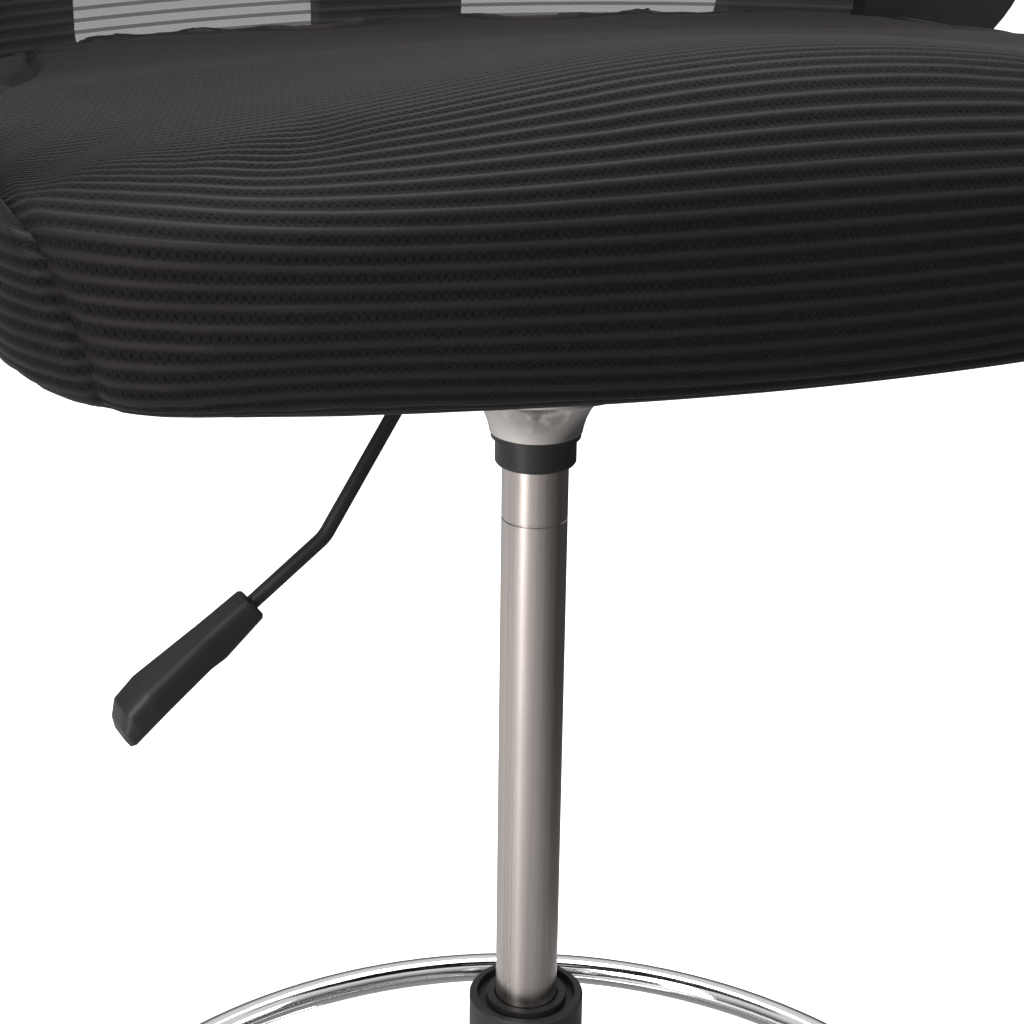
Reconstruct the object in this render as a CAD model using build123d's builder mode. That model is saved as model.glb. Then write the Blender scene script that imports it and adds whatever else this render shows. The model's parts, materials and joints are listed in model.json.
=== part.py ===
from build123d import *
from math import cos, radians, sin
import os

# Drafting chair, millimetres, +Z up. The origin is on the floor under the column axis,
# the sitter faces -Y and the height lever is on the sitter's right, at -X.

# ---------------------------------------------------------------- driving dimensions
LEG_COUNT = 5
LEG_REACH = 300
FIRST_LEG_ANGLE = 90
HUB_RADIUS = 34
HUB_BOTTOM = 62
HUB_TOP = 128
SOCKET_RADIUS = 14
CASTER_HEADING = 250

WHEEL_RADIUS = 25
WHEEL_WIDTH = 17
WHEEL_GAP = 5.6
AXLE_RADIUS = 3
STEM_RADIUS = 5.45
CASTER_TRAIL = 18
HOOD_RADIUS = 29
HOOD_HALF_WIDTH = 23.5

OUTER_TUBE_RADIUS = 25
OUTER_TUBE_BORE = 23
OUTER_TUBE_BOTTOM = 66
OUTER_TUBE_TOP = 388
CAP_TOP = 400
PISTON_RADIUS = 14
PISTON_BORE = 12
PISTON_BOTTOM = 322
PISTON_TOP = 716
RUNNING_GAP = 0.05
ROD_RADIUS = 5

RING_RADIUS = 254
RING_TUBE_RADIUS = 8
RING_HEIGHT = 242
SPOKE_COUNT = 4
SPOKE_RADIUS = 6
SPOKE_ANGLE = 25
SLEEVE_RADIUS = 33
KNOB_ANGLE = 250

COLLAR_BOTTOM = 660
BELL_BOTTOM = 674
HOUSING_BOTTOM = 701
PLATE_BOTTOM = 768
SEAT_UNDERSIDE = 772
BOARD_THICKNESS = 12
CUSHION_TOP = 866
SEAT_FRONT = -265
SEAT_REAR = 170
SEAT_HALF_WIDTH = 242

LEVER_PIVOT_X = -28
LEVER_PIVOT_HEIGHT = 716
LEVER_ROD_RADIUS = 3
LEVER_ROD_HEIGHT = 725
PADDLE_ORIGIN = Vector(-124, -29, 628)
PADDLE_DIRECTION = Vector(-57, -9, -41).normalized()

BACK_RADIUS = 400
BACK_SPINE_Y = 200
BACK_BOTTOM = 770
BACK_TOP = 1290
BACK_HALF_WIDTH = 265
BACK_CORNER = 80
RIM_HALF_OPENING = 207
MESH_HALF_OPENING = 155
MESH_THICKNESS = 1.8
SPINE_WIDTH = 70
BAR_WIDTH = 60
BAR_THICKNESS = 8

PARTS_FOLDER = "parts"
os.makedirs(PARTS_FOLDER, exist_ok=True)


def save(builder, label):
    """Labels one finished piece and writes it to its own file."""
    builder.part.label = label
    export_step(builder.part, f"{PARTS_FOLDER}/{label}.step")


def turned(points):
    """A solid of revolution about the column axis from (radius, height) points."""
    with BuildPart() as body:
        with BuildSketch(Plane.XZ):
            with BuildLine():
                Polyline(*points, close=True)
            make_face()
        revolve(axis=Axis.Z)
    return body


def ring(outer, inner, bottom, top):
    """A plain ring round the column axis."""
    return turned([(inner, bottom), (outer, bottom), (outer, top), (inner, top)])


def upright_plane(x, y, heading):
    """A level plane on the floor at (x, y) whose local X points along the heading."""
    direction = (cos(radians(heading)), sin(radians(heading)), 0)
    return Plane(origin=(x, y, 0), x_dir=direction, z_dir=(0, 0, 1))


def radial_plane(angle, radius, height):
    """A plane that faces outward from the column axis, with its local Y upward."""
    outward = (cos(radians(angle)), sin(radians(angle)), 0)
    tangent = (-sin(radians(angle)), cos(radians(angle)), 0)
    origin = (radius * outward[0], radius * outward[1], height)
    return Plane(origin=origin, x_dir=tangent, z_dir=outward)


# ---------------------------------------------------------------- star base
leg_angles = [FIRST_LEG_ANGLE + 360 / LEG_COUNT * index for index in range(LEG_COUNT)]
TAPER_RADIUS = 24.2
SOCKET_TOP = 92
SOCKET_BORE_TOP = 88

with BuildPart() as star_base:
    with BuildSketch(Plane.XY.offset(HUB_BOTTOM)):
        Circle(HUB_RADIUS)
    extrude(amount=HUB_TOP - HUB_BOTTOM)
    chamfer(edges().group_by(Axis.Z)[-1], length=3)
    for angle in leg_angles:
        with BuildSketch(radial_plane(angle, 22, 98)):
            RectangleRounded(46, 44, 10)
        with BuildSketch(radial_plane(angle, 160, 89)):
            RectangleRounded(36, 30, 9)
        with BuildSketch(radial_plane(angle, LEG_REACH - 4, 79)):
            RectangleRounded(27, 23, 8)
        loft()
        with BuildSketch(upright_plane(0, 0, angle).offset(HUB_BOTTOM)):
            with Locations((LEG_REACH, 0)):
                Circle(SOCKET_RADIUS)
        extrude(amount=SOCKET_TOP - HUB_BOTTOM)
        with BuildSketch(upright_plane(0, 0, angle).offset(HUB_BOTTOM)):
            with Locations((LEG_REACH, 0)):
                Circle(STEM_RADIUS + RUNNING_GAP)
        extrude(amount=SOCKET_BORE_TOP - HUB_BOTTOM, mode=Mode.SUBTRACT)
    with BuildSketch(Plane.XZ):
        with BuildLine():
            Polyline(
                (0, HUB_BOTTOM - 1),
                (TAPER_RADIUS, HUB_BOTTOM - 1),
                (TAPER_RADIUS, OUTER_TUBE_BOTTOM),
                (OUTER_TUBE_RADIUS, HUB_TOP),
                (OUTER_TUBE_RADIUS, HUB_TOP + 1),
                (0, HUB_TOP + 1),
                close=True,
            )
        make_face()
    revolve(axis=Axis.Z, mode=Mode.SUBTRACT)
save(star_base, "star_base")

# ---------------------------------------------------------------- casters
BOSS_RADIUS = 10
AXLE_BOSS_RADIUS = 9
BOSS_BOTTOM = 36
BOSS_TOP = 61.5
WELL_RADIUS = 26.5
WEB_HALF = 5
STEM_BOTTOM = 45.5
STEM_TOP = 86
HOOD_CUT = 22
AXLE_HALF = 19

for index, angle in enumerate(leg_angles):
    name = f"caster_{index + 1}"
    place = upright_plane(LEG_REACH * cos(radians(angle)), LEG_REACH * sin(radians(angle)), CASTER_HEADING)
    across = Plane(
        origin=place.from_local_coords((CASTER_TRAIL, 0, WHEEL_RADIUS)),
        x_dir=place.x_dir,
        z_dir=place.y_dir,
    )

    with BuildPart() as hood:
        with BuildSketch(across.offset(-HOOD_HALF_WIDTH)):
            Circle(HOOD_RADIUS)
        extrude(amount=2 * HOOD_HALF_WIDTH)
        with BuildSketch(place.offset(BOSS_BOTTOM)):
            Circle(BOSS_RADIUS)
        extrude(amount=BOSS_TOP - BOSS_BOTTOM)
        for side in (WEB_HALF, -HOOD_HALF_WIDTH - 1):
            with BuildSketch(across.offset(side)):
                Circle(WELL_RADIUS)
            extrude(amount=HOOD_HALF_WIDTH + 1 - WEB_HALF, mode=Mode.SUBTRACT)
        with BuildSketch(place.offset(HOOD_CUT)):
            with Locations((CASTER_TRAIL, 0)):
                Rectangle(3 * HOOD_RADIUS, 3 * HOOD_HALF_WIDTH)
        extrude(amount=-2 * HOOD_RADIUS, mode=Mode.SUBTRACT)
        with BuildSketch(across.offset(-WEB_HALF)):
            Circle(AXLE_BOSS_RADIUS)
        extrude(amount=2 * WEB_HALF)
        with BuildSketch(across.offset(-WEB_HALF)):
            Circle(AXLE_RADIUS)
        extrude(amount=2 * WEB_HALF, mode=Mode.SUBTRACT)
        with BuildSketch(place.offset(STEM_BOTTOM)):
            Circle(STEM_RADIUS)
        extrude(amount=BOSS_TOP - STEM_BOTTOM, mode=Mode.SUBTRACT)
    save(hood, f"{name}_hood")

    with BuildPart() as pins:
        with BuildSketch(place.offset(STEM_BOTTOM)):
            Circle(STEM_RADIUS)
        extrude(amount=STEM_TOP - STEM_BOTTOM)
        with BuildSketch(across.offset(-AXLE_HALF)):
            Circle(AXLE_RADIUS)
        extrude(amount=2 * AXLE_HALF)
    save(pins, f"{name}_pins")

    with BuildPart() as wheels:
        for side in (1, -1):
            outline = Plane(origin=across.origin, x_dir=across.z_dir * side, z_dir=across.x_dir * side)
            with BuildSketch(outline):
                with BuildLine():
                    Polyline(
                        (WHEEL_GAP, AXLE_RADIUS + RUNNING_GAP),
                        (WHEEL_GAP, WHEEL_RADIUS - 2),
                        (WHEEL_GAP + 2, WHEEL_RADIUS),
                        (WHEEL_GAP + WHEEL_WIDTH - 3, WHEEL_RADIUS),
                        (WHEEL_GAP + WHEEL_WIDTH - 0.6, WHEEL_RADIUS - 2.5),
                        (WHEEL_GAP + WHEEL_WIDTH - 0.6, WHEEL_RADIUS - 6),
                        (WHEEL_GAP + WHEEL_WIDTH - 2.4, WHEEL_RADIUS - 8),
                        (WHEEL_GAP + WHEEL_WIDTH, 7),
                        (WHEEL_GAP + WHEEL_WIDTH, 0),
                        (AXLE_HALF + 0.4, 0),
                        (AXLE_HALF + 0.4, AXLE_RADIUS + RUNNING_GAP),
                        close=True,
                    )
                make_face()
            revolve(axis=Axis(across.origin, across.z_dir))
    save(wheels, f"{name}_wheels")

# ---------------------------------------------------------------- outer tube and swivel bearing
outer_tube = turned(
    [
        (ROD_RADIUS + 1, OUTER_TUBE_BOTTOM),
        (TAPER_RADIUS, OUTER_TUBE_BOTTOM),
        (OUTER_TUBE_RADIUS, HUB_TOP),
        (OUTER_TUBE_RADIUS, OUTER_TUBE_TOP),
        (OUTER_TUBE_BORE, OUTER_TUBE_TOP),
        (OUTER_TUBE_BORE, OUTER_TUBE_BOTTOM + 3),
        (ROD_RADIUS + 1, OUTER_TUBE_BOTTOM + 3),
    ]
)
save(outer_tube, "outer_tube")

tube_cap = turned(
    [
        (PISTON_RADIUS + 0.6, OUTER_TUBE_TOP),
        (OUTER_TUBE_RADIUS, OUTER_TUBE_TOP),
        (OUTER_TUBE_RADIUS, OUTER_TUBE_TOP - 10),
        (OUTER_TUBE_RADIUS + 1, OUTER_TUBE_TOP - 10),
        (OUTER_TUBE_RADIUS + 1, CAP_TOP - 1),
        (OUTER_TUBE_RADIUS, CAP_TOP),
        (OUTER_TUBE_RADIUS - 2.5, CAP_TOP),
        (OUTER_TUBE_RADIUS - 3, CAP_TOP - 3.5),
        (PISTON_RADIUS + 4.5, CAP_TOP - 3.5),
        (PISTON_RADIUS + 4, CAP_TOP),
        (PISTON_RADIUS + 0.6, CAP_TOP),
    ]
)
save(tube_cap, "tube_cap")

BUSH_BOTTOM = 310
guide_bush = ring(OUTER_TUBE_BORE, PISTON_RADIUS + RUNNING_GAP, BUSH_BOTTOM, OUTER_TUBE_TOP)
save(guide_bush, "guide_bush")

RACE_RADIUS = 16
BALL_CIRCLE = 11.5
BALL_RADIUS = 1.95
BALL_COUNT = 10
LOWER_RACE = OUTER_TUBE_BOTTOM + 3
UPPER_RACE = LOWER_RACE + 5.5

save(ring(RACE_RADIUS, ROD_RADIUS + 1, LOWER_RACE, LOWER_RACE + 1.5), "lower_bearing_race")
save(ring(RACE_RADIUS, ROD_RADIUS + 0.6, UPPER_RACE, UPPER_RACE + 1.5), "upper_bearing_race")
save(ring(12, ROD_RADIUS + 0.6, OUTER_TUBE_BOTTOM - 1, OUTER_TUBE_BOTTOM), "swivel_washer")
save(ring(9, ROD_RADIUS - 1, OUTER_TUBE_BOTTOM - 2.4, OUTER_TUBE_BOTTOM - 1.1), "retaining_clip")

with BuildPart() as bearing_balls:
    with Locations((0, 0, LOWER_RACE + 1.5 + BALL_RADIUS)):
        with PolarLocations(BALL_CIRCLE, BALL_COUNT):
            Sphere(BALL_RADIUS)
save(bearing_balls, "bearing_balls")

# ---------------------------------------------------------------- gas spring
ROD_TOP = 345
COLLAR_SEAT = UPPER_RACE + 1.5
gas_rod = turned(
    [
        (0, OUTER_TUBE_BOTTOM - 5),
        (ROD_RADIUS, OUTER_TUBE_BOTTOM - 5),
        (ROD_RADIUS, OUTER_TUBE_BOTTOM - 2.4),
        (ROD_RADIUS - 1, OUTER_TUBE_BOTTOM - 2.4),
        (ROD_RADIUS - 1, OUTER_TUBE_BOTTOM - 1.1),
        (ROD_RADIUS, OUTER_TUBE_BOTTOM - 1.1),
        (ROD_RADIUS, COLLAR_SEAT),
        (ROD_RADIUS + 3, COLLAR_SEAT),
        (ROD_RADIUS + 3, COLLAR_SEAT + 3),
        (ROD_RADIUS, COLLAR_SEAT + 3),
        (ROD_RADIUS, ROD_TOP),
        (0, ROD_TOP),
    ]
)
save(gas_rod, "gas_rod")

PISTON_HEAD_TOP = ROD_TOP + 14
SEAL_BOTTOM = ROD_TOP + 5
piston_head = turned(
    [
        (0, ROD_TOP),
        (PISTON_BORE - 0.2, ROD_TOP),
        (PISTON_BORE - 0.2, SEAL_BOTTOM),
        (PISTON_BORE - 2, SEAL_BOTTOM),
        (PISTON_BORE - 2, SEAL_BOTTOM + 3),
        (PISTON_BORE - 0.2, SEAL_BOTTOM + 3),
        (PISTON_BORE - 0.2, PISTON_HEAD_TOP),
        (0, PISTON_HEAD_TOP),
    ]
)
save(piston_head, "piston_head")
save(ring(PISTON_BORE - RUNNING_GAP, PISTON_BORE - 2, SEAL_BOTTOM, SEAL_BOTTOM + 3), "piston_seal")

GROOVE = 635
VALVE_TOP = 700
SHOULDER = 672
TAPER_TOP_RADIUS = 13.2
BUTTON_RADIUS = 3
pressure_tube = turned(
    [
        (PISTON_BORE, PISTON_BOTTOM),
        (PISTON_RADIUS, PISTON_BOTTOM),
        (PISTON_RADIUS, GROOVE),
        (PISTON_RADIUS - 0.35, GROOVE + 0.3),
        (PISTON_RADIUS - 0.35, GROOVE + 0.9),
        (PISTON_RADIUS, GROOVE + 1.2),
        (PISTON_RADIUS, SHOULDER),
        (TAPER_TOP_RADIUS, PISTON_TOP),
        (BUTTON_RADIUS + RUNNING_GAP, PISTON_TOP),
        (BUTTON_RADIUS + RUNNING_GAP, VALVE_TOP),
        (PISTON_BORE, VALVE_TOP),
    ]
)
save(pressure_tube, "pressure_tube")

save(ring(PISTON_BORE, ROD_RADIUS + RUNNING_GAP, PISTON_BOTTOM, PISTON_BOTTOM + 14), "rod_guide")
save(ring(PISTON_BORE, BUTTON_RADIUS + RUNNING_GAP, VALVE_TOP - 36, VALVE_TOP), "valve_body")

BUTTON_TOP = 721.6
BUTTON_BOTTOM = 690
with BuildPart() as valve_button:
    with BuildSketch(Plane.XY.offset(BUTTON_BOTTOM)):
        Circle(BUTTON_RADIUS)
    extrude(amount=BUTTON_TOP - BUTTON_BOTTOM)
    fillet(edges().group_by(Axis.Z)[-1], radius=0.6)
save(valve_button, "valve_button")

# ---------------------------------------------------------------- foot ring
spoke_angles = [SPOKE_ANGLE + 360 / SPOKE_COUNT * index for index in range(SPOKE_COUNT)]

with BuildPart() as foot_ring:
    with Locations((0, 0, RING_HEIGHT)):
        Torus(RING_RADIUS, RING_TUBE_RADIUS)
save(foot_ring, "foot_ring")

with BuildPart() as foot_ring_spokes:
    for angle in spoke_angles:
        with BuildSketch(radial_plane(angle, SLEEVE_RADIUS - 4, RING_HEIGHT)):
            Circle(SPOKE_RADIUS)
        extrude(amount=RING_RADIUS - SLEEVE_RADIUS + 4)
    with Locations((0, 0, RING_HEIGHT)):
        Torus(RING_RADIUS, RING_TUBE_RADIUS, mode=Mode.SUBTRACT)
        Cylinder(SLEEVE_RADIUS, 6 * SPOKE_RADIUS, mode=Mode.SUBTRACT)
save(foot_ring_spokes, "foot_ring_spokes")

SLEEVE_BOTTOM = 214
SLEEVE_TOP = 264
SCREW_RADIUS = 4
KNOB_HEIGHT = 228
screw_plane = radial_plane(KNOB_ANGLE, 0, KNOB_HEIGHT)
sleeve_blank = turned(
    [
        (OUTER_TUBE_RADIUS + 0.1, SLEEVE_BOTTOM),
        (SLEEVE_RADIUS - 2, SLEEVE_BOTTOM),
        (SLEEVE_RADIUS, SLEEVE_BOTTOM + 3),
        (SLEEVE_RADIUS, SLEEVE_TOP - 3),
        (SLEEVE_RADIUS - 2, SLEEVE_TOP),
        (OUTER_TUBE_RADIUS + 0.1, SLEEVE_TOP),
    ]
)
with BuildPart() as foot_ring_sleeve:
    add(sleeve_blank.part)
    with BuildSketch(screw_plane):
        Circle(SCREW_RADIUS + RUNNING_GAP)
    extrude(amount=SLEEVE_RADIUS + 5, mode=Mode.SUBTRACT)
save(foot_ring_sleeve, "foot_ring_sleeve")

PAD_START = OUTER_TUBE_RADIUS + 0.3
SCREW_START = PAD_START + 2.5
KNOB_START = SLEEVE_RADIUS + 8
KNOB_LENGTH = 17
KNOB_RADIUS = 15
LOBE_CIRCLE = 13.5
LOBE_RADIUS = 4.5
LOBE_COUNT = 6
NECK_RADIUS = 8
NECK_LENGTH = 6
SCREW_DEPTH = 8
with BuildPart() as clamp_pad:
    with BuildSketch(screw_plane.offset(PAD_START)):
        Circle(SCREW_RADIUS)
    extrude(amount=SCREW_START - PAD_START - 0.1)
save(clamp_pad, "clamp_pad")

with BuildPart() as clamp_screw:
    with BuildSketch(screw_plane.offset(SCREW_START)):
        Circle(SCREW_RADIUS)
    extrude(amount=KNOB_START + SCREW_DEPTH - SCREW_START)
save(clamp_screw, "clamp_screw")

with BuildPart() as clamp_knob:
    with BuildSketch(screw_plane.offset(KNOB_START)):
        Circle(KNOB_RADIUS)
        with PolarLocations(LOBE_CIRCLE, LOBE_COUNT):
            Circle(LOBE_RADIUS)
    extrude(amount=KNOB_LENGTH)
    fillet(faces().sort_by(Axis(screw_plane.origin, screw_plane.z_dir))[-1].edges(), radius=2)
    with BuildSketch(screw_plane.offset(KNOB_START - NECK_LENGTH)):
        Circle(NECK_RADIUS)
    extrude(amount=NECK_LENGTH)
    with BuildSketch(screw_plane.offset(KNOB_START - NECK_LENGTH)):
        Circle(SCREW_RADIUS)
    extrude(amount=NECK_LENGTH + SCREW_DEPTH, mode=Mode.SUBTRACT)
save(clamp_knob, "clamp_knob")

# ---------------------------------------------------------------- head of the column
column_collar = turned(
    [
        (PISTON_RADIUS + RUNNING_GAP, COLLAR_BOTTOM),
        (PISTON_RADIUS + 2.5, COLLAR_BOTTOM),
        (PISTON_RADIUS + 3, COLLAR_BOTTOM + 0.8),
        (PISTON_RADIUS + 3, BELL_BOTTOM - 3),
        (PISTON_RADIUS + 4.8, BELL_BOTTOM - 2.5),
        (PISTON_RADIUS + 4.8, BELL_BOTTOM),
        (PISTON_RADIUS + RUNNING_GAP, BELL_BOTTOM),
    ]
)
save(column_collar, "column_collar")

TAPER_SLOPE = (PISTON_RADIUS - TAPER_TOP_RADIUS) / (PISTON_TOP - SHOULDER)
SOCKET_OUTER = 18
taper_socket = turned(
    [
        (PISTON_RADIUS - TAPER_SLOPE * (BELL_BOTTOM - SHOULDER), BELL_BOTTOM),
        (SOCKET_OUTER, BELL_BOTTOM),
        (SOCKET_OUTER, PISTON_TOP),
        (TAPER_TOP_RADIUS, PISTON_TOP),
    ]
)
save(taper_socket, "taper_socket")

BELL_RIM = 50
BELL_SHEET = 1.2
with BuildPart() as bell_cover:
    with BuildSketch(Plane.XZ):
        with BuildLine():
            outer_curve = ThreePointArc(
                (SOCKET_OUTER + 1.4, BELL_BOTTOM), (27, 690), (BELL_RIM, HOUSING_BOTTOM - BELL_SHEET - 0.2)
            )
            inner_curve = ThreePointArc(
                (SOCKET_OUTER + 0.1, BELL_BOTTOM), (26, 691), (BELL_RIM, HOUSING_BOTTOM - 0.2)
            )
            Line(outer_curve @ 0, inner_curve @ 0)
            Line(outer_curve @ 1, inner_curve @ 1)
        make_face()
    revolve(axis=Axis.Z)
save(bell_cover, "bell_cover")

# ---------------------------------------------------------------- lift mechanism
HOUSING_SHEET = 2.5
SLOT_TOP = 745
BAR_TOP = PLATE_BOTTOM
BAR_BOTTOM = BAR_TOP - BAR_THICKNESS


HOUSING_FLOOR = Vector(104, 138)
HOUSING_MOUTH = Vector(150, 190)
HOUSING_FLOOR_Y = 24
HOUSING_MOUTH_Y = 15
HOUSING_CORNER = 12


def housing_section(height, inset):
    """Sketches the housing's rounded section at a height, drawn in by the inset."""
    share = (height - HOUSING_BOTTOM) / (PLATE_BOTTOM - HOUSING_BOTTOM)
    outline = HOUSING_FLOOR + (HOUSING_MOUTH - HOUSING_FLOOR) * share
    with Locations((0, HOUSING_FLOOR_Y + (HOUSING_MOUTH_Y - HOUSING_FLOOR_Y) * share)):
        RectangleRounded(outline.X - 2 * inset, outline.Y - 2 * inset, HOUSING_CORNER)


with BuildPart() as mechanism_housing:
    with BuildSketch(Plane.XY.offset(HOUSING_BOTTOM)):
        housing_section(HOUSING_BOTTOM, 0)
    with BuildSketch(Plane.XY.offset(PLATE_BOTTOM)):
        housing_section(PLATE_BOTTOM, 0)
    loft()
    with BuildSketch(Plane.XY.offset(HOUSING_BOTTOM + HOUSING_SHEET)):
        housing_section(HOUSING_BOTTOM + HOUSING_SHEET, HOUSING_SHEET)
    with BuildSketch(Plane.XY.offset(PLATE_BOTTOM)):
        housing_section(PLATE_BOTTOM, HOUSING_SHEET)
    loft(mode=Mode.SUBTRACT)
    with BuildSketch(Plane.XY.offset(HOUSING_BOTTOM)):
        Circle(SOCKET_OUTER)
    extrude(amount=HOUSING_SHEET, mode=Mode.SUBTRACT)
    with BuildSketch(Plane.XY.offset(HOUSING_BOTTOM - 1)):
        with Locations((-60, -3)):
            Rectangle(36, 24)
    extrude(amount=SLOT_TOP - HOUSING_BOTTOM, mode=Mode.SUBTRACT)
    with BuildSketch(Plane.XY.offset(BAR_BOTTOM)):
        with Locations((0, 100)):
            Rectangle(BAR_WIDTH + 1, 60)
    extrude(amount=BAR_THICKNESS, mode=Mode.SUBTRACT)
save(mechanism_housing, "mechanism_housing")

EAR_INNER = 10
EAR_OUTER = 12.5
PIN_RADIUS = 3
FLOOR_TOP = HOUSING_BOTTOM + HOUSING_SHEET
with BuildPart() as pivot_bracket:
    with BuildSketch(Plane.XY.offset(FLOOR_TOP)):
        with Locations((LEVER_PIVOT_X, 0)):
            Rectangle(18, 2 * EAR_OUTER)
        Circle(SOCKET_OUTER + 0.5, mode=Mode.SUBTRACT)
    extrude(amount=2)
    with BuildSketch(Plane.XY.offset(FLOOR_TOP + 2)):
        for side in (1, -1):
            with Locations((LEVER_PIVOT_X, side * (EAR_INNER + EAR_OUTER) / 2)):
                Rectangle(16, EAR_OUTER - EAR_INNER)
    extrude(amount=18)
    with BuildSketch(Plane.XZ.offset(-EAR_OUTER)):
        with Locations((LEVER_PIVOT_X, LEVER_PIVOT_HEIGHT)):
            Circle(PIN_RADIUS)
    extrude(amount=2 * EAR_OUTER, mode=Mode.SUBTRACT)
save(pivot_bracket, "pivot_bracket")

with BuildPart() as pivot_pin:
    with BuildSketch(Plane.XZ.offset(-EAR_OUTER - 1.5)):
        with Locations((LEVER_PIVOT_X, LEVER_PIVOT_HEIGHT)):
            Circle(PIN_RADIUS)
    extrude(amount=2 * EAR_OUTER + 3)
save(pivot_pin, "pivot_pin")

# ---------------------------------------------------------------- height lever
BLOCK_DEPTH = 10
BLOCK_HALF_WIDTH = 9.5
BLOCK_BOTTOM = 710
BLOCK_TOP = 730.5
rod_bend = Vector(-38, 0, LEVER_ROD_HEIGHT)
rod_knee = PADDLE_ORIGIN - PADDLE_DIRECTION * 34
rod_end = PADDLE_ORIGIN + PADDLE_DIRECTION * 25
rod_start = Vector(6, 0, LEVER_ROD_HEIGHT)

with BuildPart() as lever_rod:
    with BuildLine():
        FilletPolyline(rod_start, rod_bend, rod_knee, rod_end, radius=[8, 16])
    with BuildSketch(Plane(origin=rod_start, x_dir=(0, 1, 0), z_dir=(-1, 0, 0))):
        Circle(LEVER_ROD_RADIUS)
    sweep()
save(lever_rod, "lever_rod")

with BuildPart() as lever_block:
    with BuildSketch(Plane.XY.offset(BLOCK_BOTTOM)):
        with Locations((LEVER_PIVOT_X, 0)):
            Rectangle(BLOCK_DEPTH, 2 * BLOCK_HALF_WIDTH)
    extrude(amount=BLOCK_TOP - BLOCK_BOTTOM)
    chamfer(edges().filter_by(Axis.Y), length=1.5)
    with BuildSketch(Plane.XZ.offset(-BLOCK_HALF_WIDTH)):
        with Locations((LEVER_PIVOT_X, LEVER_PIVOT_HEIGHT)):
            Circle(PIN_RADIUS + RUNNING_GAP)
    extrude(amount=2 * BLOCK_HALF_WIDTH, mode=Mode.SUBTRACT)
    with BuildSketch(Plane.YZ.offset(LEVER_PIVOT_X - BLOCK_DEPTH / 2)):
        with Locations((0, LEVER_ROD_HEIGHT)):
            Circle(LEVER_ROD_RADIUS)
    extrude(amount=BLOCK_DEPTH, mode=Mode.SUBTRACT)
save(lever_block, "lever_block")

paddle_up = (Vector(0, 0, 1) - PADDLE_DIRECTION * PADDLE_DIRECTION.Z).normalized()
paddle_side = PADDLE_DIRECTION.cross(paddle_up)
PADDLE_HALF_WIDTH = 13
with BuildPart() as lever_paddle:
    with BuildSketch(Plane(origin=PADDLE_ORIGIN, x_dir=PADDLE_DIRECTION, z_dir=paddle_side)):
        with BuildLine():
            Polyline((0, -7), (0, 7), (68, 9), (75, 4.5), (79, -9), (33, -7.6), (28, -10), close=True)
        make_face()
    extrude(amount=PADDLE_HALF_WIDTH, both=True)
    with BuildSketch(Plane(origin=PADDLE_ORIGIN, x_dir=PADDLE_DIRECTION, z_dir=paddle_up)):
        with BuildLine():
            Polyline((0, 7.5), (26, 8.5), (40, 11.5), (70, PADDLE_HALF_WIDTH), (79, 9))
            Polyline((0, -7.5), (26, -8.5), (40, -11.5), (70, -PADDLE_HALF_WIDTH), (79, -9))
            Line((0, 7.5), (0, -7.5))
            Line((79, 9), (79, -9))
        make_face()
    extrude(amount=20, both=True, mode=Mode.INTERSECT)
    with BuildSketch(Plane(origin=PADDLE_ORIGIN, x_dir=paddle_side, z_dir=PADDLE_DIRECTION)):
        Circle(LEVER_ROD_RADIUS)
    extrude(amount=25, mode=Mode.SUBTRACT)
save(lever_paddle, "lever_paddle")

# ---------------------------------------------------------------- seat
BOLT_RADIUS = 3
BOLT_PLACES = [(x, y) for x in (-82, 82) for y in (-80, 112)]
BAR_BOLT_PLACES = [(0, 60), (0, 95)]
PLATE_TOP = PLATE_BOTTOM + 3
BOARD_TOP = SEAT_UNDERSIDE + BOARD_THICKNESS
PLATE_SIZE = (196, 224)
PLATE_Y = 16
PLATE_CORNER = 16
BOLT_HEAD = 4
BOLT_HEAD_RADIUS = 5.5
NUT_FLANGE = 1.5
NUT_FLANGE_RADIUS = 9
NUT_RADIUS = 4
NUT_RECESS = 2

with BuildPart() as seat_plate:
    with BuildSketch(Plane.XY.offset(PLATE_BOTTOM)):
        with Locations((0, PLATE_Y)):
            RectangleRounded(*PLATE_SIZE, PLATE_CORNER)
        with Locations(*BOLT_PLACES, *BAR_BOLT_PLACES):
            Circle(BOLT_RADIUS, mode=Mode.SUBTRACT)
    extrude(amount=PLATE_TOP - PLATE_BOTTOM)
save(seat_plate, "seat_plate")

with BuildPart() as seat_bolts:
    for x, y in BOLT_PLACES:
        with BuildSketch(Plane.XY.offset(PLATE_BOTTOM - BOLT_HEAD)):
            with Locations((x, y)):
                RegularPolygon(BOLT_HEAD_RADIUS, 6)
        extrude(amount=BOLT_HEAD)
        with BuildSketch(Plane.XY.offset(PLATE_BOTTOM)):
            with Locations((x, y)):
                Circle(BOLT_RADIUS)
        extrude(amount=BOARD_TOP - NUT_FLANGE - PLATE_BOTTOM)
save(seat_bolts, "seat_bolts")

with BuildPart() as tee_nuts:
    for x, y in BOLT_PLACES:
        with BuildSketch(Plane.XY.offset(SEAT_UNDERSIDE + NUT_RECESS)):
            with Locations((x, y)):
                Circle(NUT_RADIUS)
                Circle(BOLT_RADIUS, mode=Mode.SUBTRACT)
        extrude(amount=BOARD_THICKNESS - NUT_FLANGE - NUT_RECESS)
        with BuildSketch(Plane.XY.offset(BOARD_TOP - NUT_FLANGE)):
            with Locations((x, y)):
                Circle(NUT_FLANGE_RADIUS)
        extrude(amount=NUT_FLANGE)
save(tee_nuts, "tee_nuts")

FRONT_CORNER = Vector(222, -228)
REAR_CORNER = Vector(182, SEAT_REAR - 40)
CORNER_ROUNDING = 42
WIDEST_Y = -60


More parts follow.
